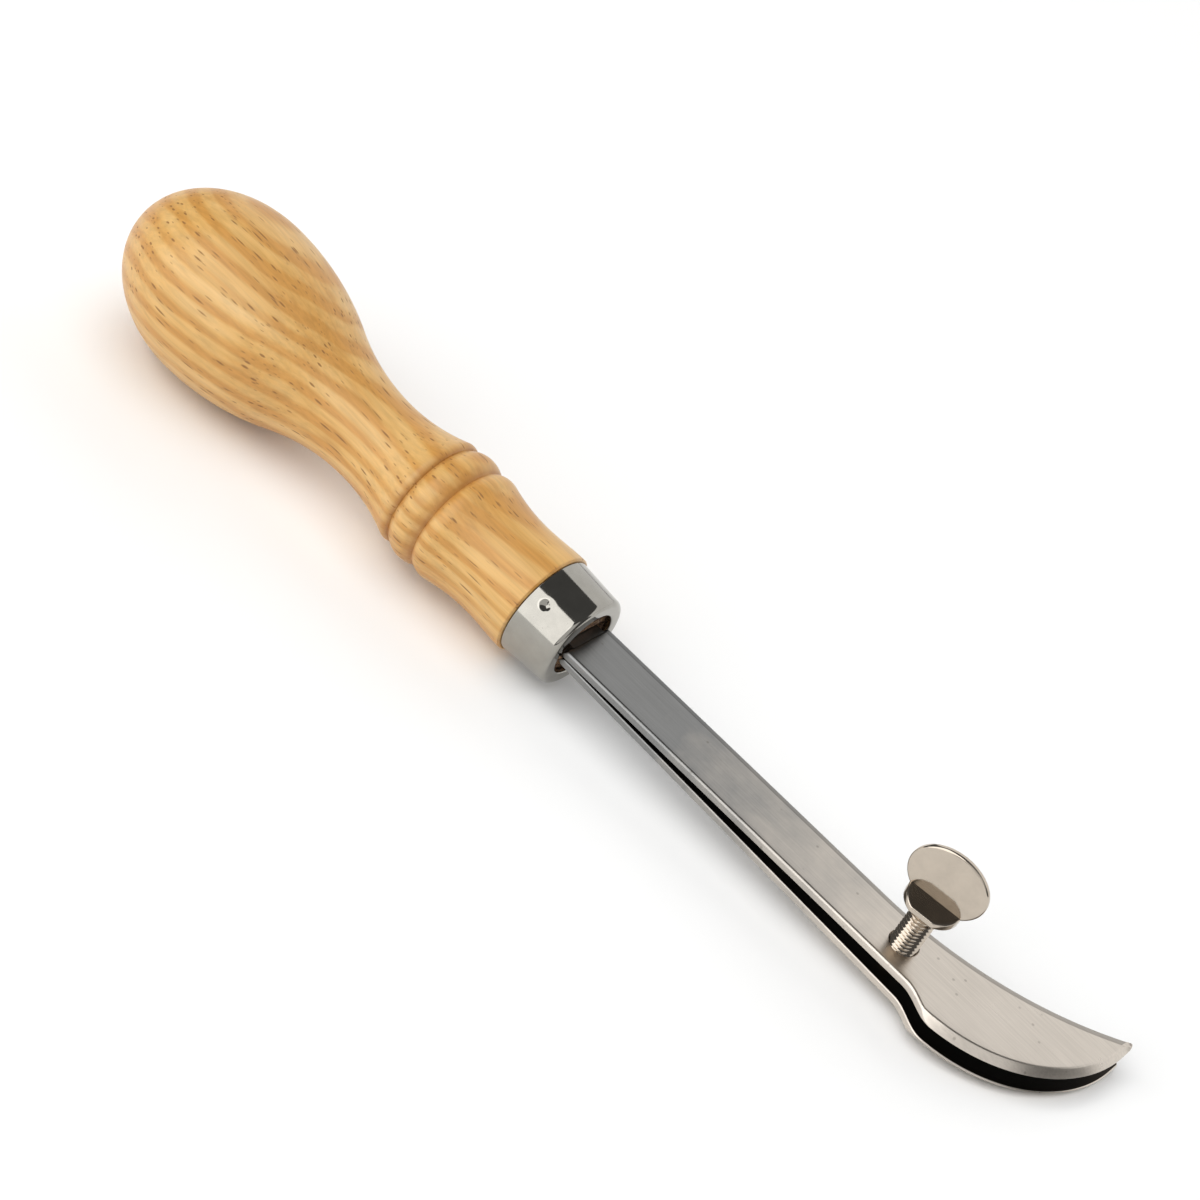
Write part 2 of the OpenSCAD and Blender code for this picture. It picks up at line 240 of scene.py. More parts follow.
def woodMaterial():
    look = woodLook
    material, nodes, links, shader = newMaterial("varnished ring-porous wood")
    add, subtract, times, make, ramp, mix, noise, valueOf, _ = boundTo(nodes, links)
    place = nodes.new("ShaderNodeTexCoord").outputs["Object"]

    # slow wander of the grain, so that rings and pores aren't straight
    wander = noise(place, (14, 34, 34), 2.0, output="Color")
    wander = make(
        "ShaderNodeVectorMath", {0: wander, 1: grey(0.5)}, operation="SUBTRACT").outputs[0]
    wander = make(
        "ShaderNodeVectorMath", {0: wander, "Scale": look["wander"]}, operation="SCALE").outputs[0]
    grain = make("ShaderNodeVectorMath", {0: place, 1: wander}).outputs[0]

    # growth rings: cylinders about a far, slightly tilted axis, so a flat cut shows long arches
    ringPlace = make("ShaderNodeMapping", {
        "Vector": grain, "Location": look["ringPlace"], "Rotation": look["ringTilt"]}).outputs[0]
    split = make("ShaderNodeSeparateXYZ", {0: ringPlace})
    across = make("ShaderNodeCombineXYZ", {1: split.outputs[1], 2: split.outputs[2]}).outputs[0]
    distance = make("ShaderNodeVectorMath", {0: across}, operation="LENGTH").outputs["Value"]
    rings = mathOf(nodes, links, "DIVIDE", distance, look["ringWidth"])
    early = ramp(mathOf(nodes, links, "FRACT", rings), [
        (0.0, grey(0.55)), (0.10, grey(1.0)), (0.34, grey(0.85)), (0.55, grey(0.12)),
        (0.90, grey(0.0)), (1.0, grey(0.5))])

    # fibres, broad stains and fine streaks
    fibre = noise(grain, (70, 1500, 1500), 3.0, 0.6)
    streak = noise(grain, (26, 330, 330), 3.0, 0.55)
    stain = noise(grain, (30, 75, 75), 3.0, distortion=0.4)
    tone = add(times(early, look["ringShare"]),
               add(times(stain, look["stainShare"]), times(streak, look["streakShare"])))
    body = ramp(tone, [(0.42, look["pale"]), (0.80, look["tan"]), (1.0, look["gold"])])
    fine = ramp(fibre, [(0.30, grey(0.86)), (0.62, grey(1.04))])
    body = mix(1.0, body, fine, "MULTIPLY")

    # open pores: long thin cells that run along the grain, crowded into the early wood
    def poreField(width, length, size, share, seed):
        cells = make("ShaderNodeMapping", {
            "Vector": grain, "Location": (seed, seed * 0.7, seed * 0.3),
            "Scale": (1 / length, 1 / width, 1 / width)}).outputs[0]
        cell = make("ShaderNodeTexVoronoi", {"Vector": cells, "Scale": 1.0, "Randomness": 1.0})
        core = ramp(cell.outputs["Distance"], [(size * 0.55, grey(1.0)), (size, grey(0.0))])
        pick = make("ShaderNodeSeparateColor", {0: cell.outputs["Color"]}).outputs[0]
        wanted = add(times(early, share), share * 0.35)
        return times(core, mathOf(nodes, links, "LESS_THAN", pick, wanted))

    pores = mathOf(nodes, links, "MAXIMUM", poreField(*look["widePores"]),
                   times(poreField(*look["finePores"]), look["finePoreStrength"]))
    body = mix(times(pores, look["poreStrength"]), body, look["pore"])

    # turned grooves are burnished dark, and the cut end inside the ferrule is raw
    blotch = times(valueOf("burnish"), add(times(streak, 0.9), 0.35), clamp=True)
    body = mix(blotch, body, look["burnt"])
    raw = valueOf("raw")
    rawSpots = noise(place, 2300.0, 3.0, 0.7)
    rawColour = ramp(rawSpots, [
        (0.36, look["endDark"]), (0.50, look["endGrain"]), (0.66, look["endPale"])])
    links.new(mix(raw, body, rawColour), shader.inputs["Base Color"])

    # pores, raw wood and fibres are rougher than the varnish
    rough = add(times(raw, 0.4), add(times(fibre, 0.16), look["roughness"]))
    rough = add(times(pores, 0.25), rough)
    links.new(rough, shader.inputs["Roughness"])
    shader.inputs["Coat Weight"].default_value = look["coat"]
    shader.inputs["Coat Roughness"].default_value = look["coatRoughness"]
    shader.inputs["Specular IOR Level"].default_value = look["shine"]
    height = add(subtract(times(fibre, 0.22), pores), times(raw, times(rawSpots, 4.0)))
    bumpInto(nodes, links, shader, height, look["bump"], look["bumpHeight"])
    return material


nickelLook = {
    "ferrule": (0.37, 0.355, 0.32), "ferruleRoughness": 0.05,
    "screw": (0.56, 0.49, 0.41), "screwRoughness": 0.07,
    "smudge": 0.06, "dull": 0.90, "pit": (0.16, 0.14, 0.12), "bump": 0.12, "bumpHeight": 0.02 * mm,
}


def nickelMaterial(name, colour, roughness, lineAxis):
    # bright plating: nearly a mirror, with faint polishing lines, smudges and tiny pits
    look = nickelLook
    material, nodes, links, shader = newMaterial(name)
    add, subtract, times, _, ramp, mix, noise, _, speck = boundTo(nodes, links)
    place = nodes.new("ShaderNodeTexCoord").outputs["Object"]
    smudge = noise(place, 420.0, 4.0, 0.6)
    lineScale = [2600, 2600, 2600]
    lineScale[lineAxis] = 160
    lines = noise(place, lineScale, 2.0)
    pits = speck(place, 900.0, 0.035, 0.075)
    tint = ramp(smudge, [(0.30, tuple(look["dull"] * c for c in colour)), (0.65, colour)])
    links.new(mix(times(pits, 0.35), tint, look["pit"]), shader.inputs["Base Color"])
    links.new(add(times(smudge, look["smudge"]), roughness), shader.inputs["Roughness"])
    shader.inputs["Metallic"].default_value = 1.0
    height = subtract(times(lines, 0.5), pits)
    bumpInto(nodes, links, shader, height, look["bump"], look["bumpHeight"])
    return material


steelLook = {
    # the root and tip colours are painted light: darker by the ferrule as painted shade, lighter
    # towards the tip as a painted reflection
    "shadedRoot": (0.25, 0.25, 0.245), "rootUntil": 0.20,  # shares of the leaf's length
    "tip": (0.66, 0.60, 0.53), "tipFrom": 0.66,
    # painted shade: a darker multiplier for the back's bevel, and a near-black colour for the faces
    # between the leaves
    "ground": (0.58, 0.58, 0.58), "gapShade": (0.03, 0.025, 0.02), "speck": (0.10, 0.08, 0.06),
    "cloud": 0.45, "roughness": 0.20, "bump": 0.16, "bumpHeight": 0.03 * mm,
}


def steelMaterial():
    # satin spring steel: the base colour is painted cooler and darker by the ferrule as painted
    # shade, and lighter towards the tip as a painted reflection
    look = steelLook
    material, nodes, links, shader = newMaterial("satin spring steel")
    add, subtract, times, make, ramp, mix, noise, valueOf, speck = boundTo(nodes, links)
    place = nodes.new("ShaderNodeTexCoord").outputs["Object"]
    split = make("ShaderNodeSeparateXYZ", {0: place})
    along = make("ShaderNodeMapRange", {
        0: split.outputs[0], 1: float(toolOrigin[0]), 2: float(leafHigh.x),
        3: 0.0, 4: 1.0}).outputs[0]
    cloud = noise(place, 130.0, 4.0, 0.55)
    mixed = add(along, times(subtract(cloud, 0.5), look["cloud"]), clamp=True)
    # painted shade and painted reflection: the base colour runs from the darker root colour to the
    # lighter tip colour along the leaf
    base = ramp(mixed, [
        (look["rootUntil"], look["shadedRoot"]), (look["tipFrom"], look["tip"]), (1.0, look["tip"])])
    brush = noise(place, (90, 3200, 3200), 3.0, 0.65)
    lines = ramp(brush, [(0.30, grey(0.90)), (0.70, grey(1.05))])
    base = mix(1.0, base, lines, "MULTIPLY")
    specks = speck(place, 330.0, 0.05, 0.11)
    base = mix(times(specks, 0.35), base, look["speck"])
    # painted shade: the back's bevel is painted darker, and the inner faces between the leaves are
    # painted near black
    ground = valueOf("ground")
    base = mix(ground, base, mix(1.0, base, look["ground"], "MULTIPLY"))
    inner = valueOf("inner")
    # painted shade: the inner faces, in the narrow gap between the leaves, are painted near black
    base = mix(inner, base, look["gapShade"])
    links.new(base, shader.inputs["Base Color"])
    shader.inputs["Metallic"].default_value = 1.0
    rough = add(times(cloud, 0.14), add(times(brush, 0.08), look["roughness"]))
    rough = add(rough, times(mathOf(nodes, links, "MAXIMUM", ground, inner), 0.12))
    links.new(rough, shader.inputs["Roughness"])
    height = subtract(brush, times(specks, 0.6))
    bumpInto(nodes, links, shader, height, look["bump"], look["bumpHeight"])
    return material


# sizes are in millimetres, and places are distances behind the ferrule
handleSize = {
    "length": 101, "bulbRadius": 16.5, "buttLength": 21.8, "waistRadius": 8.4, "waistAt": 41.4,
    "beadRadius": 11.25, "beadWidth": 6.0, "beadAt": 24.1, "grooveRadius": 10.2,
    "shoulderRadius": 10.1, "shoulderBevel": 0.3, "gripRadius": 9.65, "gripAt": 9.0,
    "bulbArc": 52, "neckArc": 36, "gripArc": 36, "rollArc": 4.0,
    "rollStart": 18.0, "lipArc": 1.6, "lipStart": 28.8, "columns": 224, "step": 0.45,
    "slotHalfWidth": 6.1, "slotHalfHeight": 1.95, "slotDepth": 4.0, "tangHalfWidth": 4.05,
    "tangEndHalfWidth": 1.55, "tangHalfHeight": 1.71, "tangDepth": 44.05, "tangTaper": 35.0,
    "endGrainAt": -1.2, "endGrainRadius": 8.2, "tornDepth": 0.34, "tenonRadii": (8.25, 8.72),
}


def handleOutline():
    # distance behind the ferrule against radius, as arcs that meet smoothly: shoulder, hollow grip,
    # roll into the front groove, bead, lip, waist, bulb and an oval butt
    s = handleSize
    degrees = lambda x: math.degrees(math.asin(x))
    grip = np.linspace(s["shoulderBevel"], s["gripAt"], 14)
    flare = (s["shoulderRadius"] - s["gripRadius"]) / 2
    shoulder = s["gripRadius"] + flare * (1 + np.cos(math.pi * grip / s["gripAt"]))
    rollTilt = degrees((s["rollStart"] - s["gripAt"]) / s["gripArc"])
    rollX = s["rollStart"] + s["rollArc"] * math.sin(math.radians(rollTilt))
    rollR = s["gripRadius"] + s["gripArc"] * (1 - math.cos(math.radians(rollTilt))) \
        - s["rollArc"] * math.cos(math.radians(rollTilt))
    sag = s["beadRadius"] - s["grooveRadius"]
    beadArc = (s["beadWidth"] ** 2 / 4 + sag ** 2) / (2 * sag)
    beadTilt = degrees(s["beadWidth"] / 2 / beadArc)
    frontGroove, rearGroove = s["beadAt"] - s["beadWidth"] / 2, s["beadAt"] + s["beadWidth"] / 2
    lipTilt = degrees((s["waistAt"] - s["lipStart"]) / s["neckArc"])
    lipX = s["lipStart"] - s["lipArc"] * math.sin(math.radians(lipTilt))
    lipR = s["waistRadius"] + s["neckArc"] * (1 - math.cos(math.radians(lipTilt))) \
        - s["lipArc"] * math.cos(math.radians(lipTilt))
    bulbAt = s["length"] - s["buttLength"]
    rise, run = s["bulbRadius"] - s["waistRadius"], bulbAt - s["waistAt"]
    arcSum = (run ** 2 + rise ** 2) / (2 * rise)
    meet = degrees(run / arcSum)
    waistArc = arcSum - s["bulbArc"]
    butt = np.radians(np.linspace(2, 90, 40))
    parts = [
        np.array([[0, s["shoulderRadius"] - s["shoulderBevel"]]]),
        np.stack([grip, shoulder], -1),
        arcPoints(
            s["gripAt"], s["gripRadius"] + s["gripArc"], s["gripArc"], -89, -90 + rollTilt, 18),
        arcPoints(rollX, rollR, s["rollArc"], 90 + rollTilt - 3, 60, 16),
        np.array([[frontGroove, s["grooveRadius"]]]),
        arcPoints(
            s["beadAt"], s["beadRadius"] - beadArc, beadArc,
            90 + beadTilt - 4, 90 - beadTilt + 4, 26),
        np.array([[rearGroove, s["grooveRadius"]]]),
        arcPoints(lipX, lipR, s["lipArc"], 128, 90 - lipTilt, 12),
        arcPoints(
            s["waistAt"], s["waistRadius"] + s["neckArc"], s["neckArc"],
            -90 - lipTilt + 1.5, -90, 22),
        arcPoints(s["waistAt"], s["waistRadius"] + waistArc, waistArc, -89, -90 + meet, 24),
        arcPoints(bulbAt, s["bulbRadius"] - s["bulbArc"], s["bulbArc"], 90 + meet - 1, 90, 28),
        np.stack([bulbAt + s["buttLength"] * np.sin(butt), s["bulbRadius"] * np.cos(butt)], -1),
    ]
    return np.concatenate(parts), frontGroove, rearGroove


def handle():
    s = handleSize
    outline, frontGroove, rearGroove = handleOutline()
    outline = denser(outline, s["step"])
    outline[-1, 1] = 0
    turn = np.linspace(0, 2 * math.pi, s["columns"], endpoint=False)
    c, n = np.cos(turn), np.sin(turn)
    ferruleLength = (ferruleHigh.x - ferruleLow.x) / mm

    def boxRing(x, halfWidth, halfHeight):
        # rounded rectangle as a superellipse of power 12
        reach = (np.abs(c / halfWidth) ** 12 + np.abs(n / halfHeight) ** 12) ** (-1 / 12)
        return np.stack([np.full_like(c, x), reach * c, reach * n], -1)

    def roundRing(x, radius):
        return np.stack([np.full_like(c, x), radius * c, radius * n], -1)

    # the slot that the tangs are driven into, from its blind end out to the end grain
    front = s["endGrainAt"]
    inside = [boxRing(-s["tangDepth"], 1e-4, 1e-4),
              boxRing(-s["tangDepth"], s["tangEndHalfWidth"], s["tangHalfHeight"]),
              boxRing(-s["tangTaper"], s["tangHalfWidth"], s["tangHalfHeight"]),
              boxRing(front - s["slotDepth"], s["tangHalfWidth"], s["tangHalfHeight"]),
              boxRing(front - s["slotDepth"], s["slotHalfWidth"], s["slotHalfHeight"]),
              boxRing(front - 0.2, s["slotHalfWidth"], s["slotHalfHeight"])]
    edge = boxRing(front, s["slotHalfWidth"] + 0.1, s["slotHalfHeight"] + 0.1)
    rim = roundRing(front, s["endGrainRadius"])
    share = np.linspace(0, 1, 22)[:, None, None]
    face = edge + (rim - edge) * share
    torn = np.random.default_rng(11).random(face.shape[:2]) * np.sin(math.pi * share[..., 0])
    face[..., 0] -= s["tornDepth"] * torn  # torn end grain
    frontRadius, backRadius = s["tenonRadii"]
    tenon = np.stack([roundRing(front - 0.15, frontRadius), roundRing(-ferruleLength, backRadius)])
    radius, place = outline[:, 1][:, None], -(ferruleLength + outline[:, 0])[:, None]
    turned = np.stack([place + 0 * c, radius * c, radius * n], -1)
    grid = np.concatenate([np.stack(inside), face, tenon, turned]) * mm

    # burnished places: both grooves and the bead's flank towards the ferrule
    behind = outline[:, 0]

    def near(groove, width):
        return np.exp(-((behind - groove) / width) ** 2)

    def after(groove, length, fade):
        return smoothStep((behind - groove) / 0.3) * smoothStep((groove + length - behind) / fade)
    burnt = 0.95 * near(frontGroove, 0.55) + 0.8 * near(rearGroove, 0.7)
    burnt += 0.45 * after(frontGroove, 2.3, 1.2)
    burnt += 0.30 * after(rearGroove, 3.2, 2.4)
    burnt += 0.35 * smoothStep((0.5 - behind) / 0.4)
    before = len(grid) - len(behind)

    def perPoint(inside, outside):
        return np.repeat(np.concatenate([inside, outside])[:, None], len(turn), 1)
    burnish = perPoint(np.zeros(before), np.clip(burnt, 0, 1))
    raw = perPoint(np.ones(before), np.zeros(len(behind)))
    piece = makePiece("turned_handle", [(grid, True)], "grip", ["handle"], 40,
                      {"burnish": [burnish], "raw": [raw]})
    piece.data.materials.append(woodMaterial())


# millimetres, with places counted from the front face; the dent's angle is in degrees
ferruleSize = {
    "length": 9.6, "backRadius": 9.6, "frontRadius": 9.1, "wall": 0.8, "edge": 1.1, "hole": 6.35,
    "frontLip": 0.22, "backLip": 0.2,
    "dentAt": -6.3, "dentAngle": 136, "dentRadius": 0.80, "dentDepth": 0.46, "columns": 400,
}


def ferrule():
    s = ferruleSize
    edgeR = s["frontRadius"] - s["edge"]
    taper = s["backRadius"] - s["frontRadius"]
    outer = lambda x: s["frontRadius"] + taper * (-x - s["edge"]) / (s["length"] - s["edge"])
    front, back = s["frontLip"], s["backLip"]
    long = np.linspace(-s["edge"], -s["length"] + back, 74)[1:]
    corner = np.radians(np.linspace(0, 90, 16))
    lip = np.radians(np.linspace(0, 90, 6))
    profile = np.concatenate([
        np.array([[-s["wall"], s["hole"]], [-0.25, s["hole"]]]),
        np.stack([-front + front * np.sin(lip), s["hole"] + front - front * np.cos(lip)], -1),
        np.array([[0.0, s["hole"] + 0.8]]),
        np.stack([-s["edge"] + s["edge"] * np.cos(corner), edgeR + s["edge"] * np.sin(corner)], -1),
        np.stack([long, outer(long)], -1),
        np.stack([-s["length"] + back - back * np.sin(lip),
                  s["backRadius"] - back + back * np.cos(lip)], -1),
        np.array([[-s["length"], s["backRadius"] - s["wall"]],
                  [-s["wall"], s["frontRadius"] - s["wall"]], [-s["wall"], s["hole"]]])])
    turn = np.linspace(0, 2 * math.pi, s["columns"], endpoint=False)
    x, r = profile[:, 0][:, None], profile[:, 1][:, None]
    # a punched dent: a round hollow with a slightly raised rim, only in the outer skin
    away = np.hypot(x - s["dentAt"], s["backRadius"] * (turn - math.radians(s["dentAngle"])))
    hollow = -s["dentDepth"] * np.exp(-(away / s["dentRadius"]) ** 2.2)
    outside = (r > s["frontRadius"] - 0.05) & (x < -s["edge"])
    radius = r + np.where(outside, hollow, 0)
    grid = np.stack([x + 0 * turn, radius * np.cos(turn), radius * np.sin(turn)], -1) * mm
    piece = makePiece("ferrule_ring", [(grid, True)], "grip", ["ferrule"], 45)
    piece.data.materials.append(nickelMaterial(
        "polished nickel plate", nickelLook["ferrule"], nickelLook["ferruleRoughness"], 0))


# millimetres, with places counted from the ferrule's front face
leafSize = {
    "halfWidth": 5.8, "thickness": 1.6, "tip": 107.1, "creaseRadius": 26.1, "creaseSide": 17.6,
    "backAt": 64.0, "backRadius": 68.0, "hollowStart": 76.5, "hollowLength": 8.0, "tipRound": 0.8,
    "creaseBevel": 1.1, "creaseLand": 0.2, "bevelStart": 78.0, "backBevel": 1.4, "backDrop": 0.5,
    "arris": 0.35, "lowerArris": 0.18, "cornerBevel": 0.4, "cornerDrop": 0.35,
    "holeAt": 71.9, "holeRadius": 2.58, "holeBevel": 0.15,
    "stationsToHole": 90, "stationsAtHole": 33, "stationsAtRoot": 12,
}


def leafEdges():
    # matching points on the near and the far edge, from the root to the end corner, and the
    # directions that point into the leaf. The near edge runs straight, hollow and then round along
    # the creasing edge; the far one is the back.
    s = leafSize
    flex = flexX / mm
    centreX = s["tip"] - s["creaseRadius"]
    crease = lambda x: s["creaseSide"] - np.sqrt(s["creaseRadius"] ** 2 - (x - centreX) ** 2)
    back = lambda x: s["halfWidth"] + s["backRadius"] - np.sqrt(
        s["backRadius"] ** 2 - np.maximum(x - s["backAt"], 0) ** 2)
    holeAt, reach = s["holeAt"], s["holeRadius"] + s["holeBevel"]
    straight = np.concatenate([
        np.linspace(flex, holeAt - reach, s["stationsToHole"], endpoint=False),
        holeAt - reach * np.cos(np.linspace(0, math.pi, s["stationsAtHole"])),
        np.linspace(holeAt + reach, s["hollowStart"], 6)[1:]])
    swell = s["hollowStart"] + s["hollowLength"] * np.linspace(0, 1, 25)[1:]
    near = [np.stack([straight, np.full_like(straight, -s["halfWidth"])], -1),
            np.stack([swell, -s["halfWidth"] + smoothStep(
                (swell - s["hollowStart"]) / s["hollowLength"]) * (
                    crease(swell) + s["halfWidth"])], -1)]
    fromDeg = -90 + math.degrees(math.asin((swell[-1] - centreX) / s["creaseRadius"]))
    near.append(arcPoints(centreX, s["creaseSide"], s["creaseRadius"], fromDeg, 0, 90)[1:])
    cornerX = s["tip"] - s["tipRound"]
    cornerY = float(back(np.array(cornerX))) - s["tipRound"]
    near.append(np.stack([np.full(8, s["tip"]), np.linspace(s["creaseSide"], cornerY, 9)[1:]], -1))
    near.append(arcPoints(cornerX, cornerY, s["tipRound"], 0, 45, 8)[1:])
    near = np.concatenate(near)
    count, fixed = len(near), len(straight)
    # the far edge keeps the near edge's stations up to the swelling, then spaces them evenly
    rest = np.linspace(s["hollowStart"], cornerX, count - fixed - 7 + 1)[1:]
    far = np.concatenate([
        np.stack([straight, back(straight)], -1), np.stack([rest, back(rest)], -1),
        arcPoints(cornerX, cornerY, s["tipRound"], 90, 45, 8)[1:]])

    def inward(line, side):
        tangent = np.gradient(line, axis=0)
        tangent /= np.linalg.norm(tangent, axis=1)[:, None]
        return np.stack([-side * tangent[:, 1], side * tangent[:, 0]], -1)
    nearIn, farIn = inward(near, 1), inward(far, -1)
    meet = nearIn[-1] + farIn[-1]
    nearIn[-1] = farIn[-1] = meet / np.linalg.norm(meet)
    return near, far, nearIn, farIn


def roundedCorner(before, corner, after, size):
    # a corner of a cross-section, rounded: five points for every station. The three points are
    # (distance in from the edge, height), one pair for each station.
    toBefore, toAfter = before - corner, after - corner
    lengthBefore = np.maximum(np.linalg.norm(toBefore, axis=1), 1e-6)
    lengthAfter = np.maximum(np.linalg.norm(toAfter, axis=1), 1e-6)
    reach = np.minimum(size, 0.45 * np.minimum(lengthBefore, lengthAfter))
    start = corner + toBefore * (reach / lengthBefore)[:, None]
    end = corner + toAfter * (reach / lengthAfter)[:, None]
    return [start * (1 - u) ** 2 + corner * 2 * u * (1 - u) + end * u * u
            for u in np.linspace(0, 1, 5)]


def leafBevels(near, far):
    # width and depth of the bevel on a leaf's outer side at every station of both edges: on the
    # creasing edge a cone cuts it, so it grows as far as the edge stands outside the cone's top
    s = leafSize
    centreX = s["tip"] - s["creaseRadius"]
    coneRadius = s["creaseRadius"] - s["creaseBevel"]
    beyond = np.hypot(near[:, 0] - centreX, near[:, 1] - s["creaseSide"]) - coneRadius
    beyond = np.clip(np.where(near[:, 0] > s["bevelStart"], beyond, 0), 0, s["creaseBevel"])
    slope = (s["thickness"] - s["creaseLand"]) / s["creaseBevel"]
    nearWidth, nearDrop = np.maximum(beyond, s["arris"]), np.maximum(beyond * slope, s["arris"])
    farWidth, farDrop = np.full(len(far), s["backBevel"]), np.full(len(far), s["backDrop"])
    # both bevels run into one at the end corner
    toCorner = smoothStep((np.arange(len(near)) - (len(near) - 13)) / 12)
    mixed = [a + (b - a) * toCorner for a, b in (
        (nearWidth, s["cornerBevel"]), (nearDrop, s["cornerDrop"]),
        (farWidth, s["cornerBevel"]), (farDrop, s["cornerDrop"]))]
    return (mixed[0], mixed[1]), (mixed[2], mixed[3])


def leaf(name, node, body, side, drilled):
    # a flat plate swept along its two edges: each cross-section runs from the middle of the outer
    # face over a bevel to the middle of the inner face. side is 1 for the leaf with the screw head
    # and -1 for the other, which is its mirror image.
    s = leafSize
    near, far, nearIn, farIn = leafEdges()
    nearBevel, farBevel = leafBevels(near, far)
    half = s["thickness"] / 2
    # the root's round end: stations behind the flex line, where the thickness follows a circle
    flex = flexX / mm
    roundEnd = np.linspace(1, 0, s["stationsAtRoot"] + 1)[:-1]
    lead = len(roundEnd)
    rootX = flex - half * np.sin(roundEnd * math.pi / 2)
    thin = np.concatenate([np.cos(roundEnd * math.pi / 2), np.ones(len(near))])[:, None]

    def withRoot(line):
        return np.concatenate([np.stack([rootX, np.full_like(rootX, line[0, 1])], -1), line])

    def held(values):
        return np.concatenate([np.repeat(values[:1], lead, axis=0), values])
    near, far = withRoot(near), withRoot(far)
    nearIn, farIn = held(nearIn), held(farIn)
    nearBevel, farBevel = [held(v) for v in nearBevel], [held(v) for v in farBevel]

    # the middle line of a face lies between its two inset edges, on the tool's axis at first
    def middleLine(nearInset, farInset):
        line = (near + nearIn * nearInset[:, None] + far + farIn * farInset[:, None]) / 2
        line[:, 1] *= smoothStep((line[:, 0] - s["hollowStart"]) / 12)
        return line
    lowerArris = np.full(len(near), s["lowerArris"])
    outerMiddle = middleLine(nearBevel[0], farBevel[0])
    innerMiddle = middleLine(lowerArris, lowerArris)

    # the hole opens the middle line into two
    holeAt, radius, bevel = s["holeAt"], s["holeRadius"], s["holeBevel"]
    firstOpen = lead + s["stationsToHole"]
    openStations = slice(firstOpen, firstOpen + s["stationsAtHole"])
    angle = np.linspace(0, math.pi, s["stationsAtHole"])

    def opened(line, towards, r):
        line = line.copy()
        if drilled:
            line[openStations, 0] = holeAt - r * np.cos(angle)
            line[openStations, 1] = towards * r * np.sin(angle)
        return line

    def halfSheet(edge, inwards, towards, bevelSize, bevelShadeSide):
        # from the outer face's middle, out over one edge, to the inner face's middle
        width, drop = bevelSize
        one = np.ones(len(edge))
        corners = [np.stack(pair, -1) for pair in (
            (width + 2 * one, half * one), (width, half * one), (0 * one, half - drop),
            (0 * one, lowerArris - half), (lowerArris, -half * one),
            (lowerArris + 2 * one, -half * one))]
        rounded = [roundedCorner(corners[i], corners[i + 1], corners[i + 2], size)
                   for i, size in enumerate((0.25, 0.3, 0.15, 0.15))]
        insets = [point[:, :1] for corner in rounded for point in corner]
        heights = [point[:, 1:] for corner in rounded for point in corner]
        outer = opened(outerMiddle, towards, radius + bevel)
        inner = opened(innerMiddle, towards, radius)
        firstEdge, lastEdge = edge + inwards * insets[0], edge + inwards * insets[-1]
        shares = np.linspace(0, 1, 7)[:-1]
        flat = [outer + (firstEdge - outer) * t for t in shares]
        flat += [edge + inwards * inset for inset in insets]
        flat += [inner + (lastEdge - inner) * t for t in shares[::-1]]
        level = [half * one[:, None]] * 6 + heights + [-half * one[:, None]] * 6
        # the back's bevel, painted darker as shade, is columns 7 to 14, and the inner face, painted
        # near black as shade, starts at column 23
        ground = np.zeros((len(edge), len(flat)))
        ground[:, 7:15] = bevelShadeSide
        innerFace = np.zeros((len(edge), len(flat)))
        innerFace[:, 23:] = 1
        heights = (np.stack(level, 1)[..., 0] * thin)[..., None]
        grid = np.concatenate([np.stack(flat, 1), heights], -1)
        return grid, ground, innerFace

    sheets = [halfSheet(near, nearIn, -1, nearBevel, 0.0), halfSheet(far, farIn, 1, farBevel, 1.0)]
    grids = [sheet[0] for sheet in sheets]
    ground, innerFace = [sheet[1] for sheet in sheets], [sheet[2] for sheet in sheets]
    if drilled:
        for towards in (-1, 1):
            wall = [np.stack([holeAt - r * np.cos(angle), towards * r * np.sin(angle),
                              np.full_like(angle, z)], -1)
                    for r, z in ((radius + bevel, half), (radius, half - bevel), (radius, 0.0),
                                 (radius, -half))]
            grids.append(np.stack(wall, 1))
            ground.append(np.zeros(grids[-1].shape[:2]))
            innerFace.append(np.zeros(grids[-1].shape[:2]))
    # stand the leaf on its own angle about its flex line
    cosine, sine = math.cos(spread), math.sin(spread)
    placed = []
    for grid in grids:
        x, z = grid[..., 0] - flex, grid[..., 2]
        placed.append((np.stack([flex + x * cosine - z * sine, grid[..., 1],
                                 side * (flexZ / mm + x * sine + z * cosine)], -1) * mm, False))
    attributes = {"ground": [v.ravel() for v in ground], "inner": [v.ravel() for v in innerFace]}
    piece = makePiece(name, placed, body, [node], 24, attributes)
    piece.data.materials.append(leafSteel)


# millimetres, with heights counted from the upper leaf's top face
screwSize = {
    "radius": 2.45, "pitch": 0.8, "depth": 0.45, "endRadius": 1.4, "domeLength": 0.9,
    "seatGap": 0.04, "collarAt": 9.6, "collarRadius": 4.9, "collarThickness": 1.0,
    "collarFlat": 4.4, "collarRise": 0.95, "lowerRound": 0.25, "upperRound": 0.3,
    "headHalfWidth": 7.1, "headHalfHeight": 6.0, "headTop": 21.4, "headThickness": 1.2, "rim": 0.45,
    "headTurn": 8, "columns": 144,  # the turn is in degrees
}


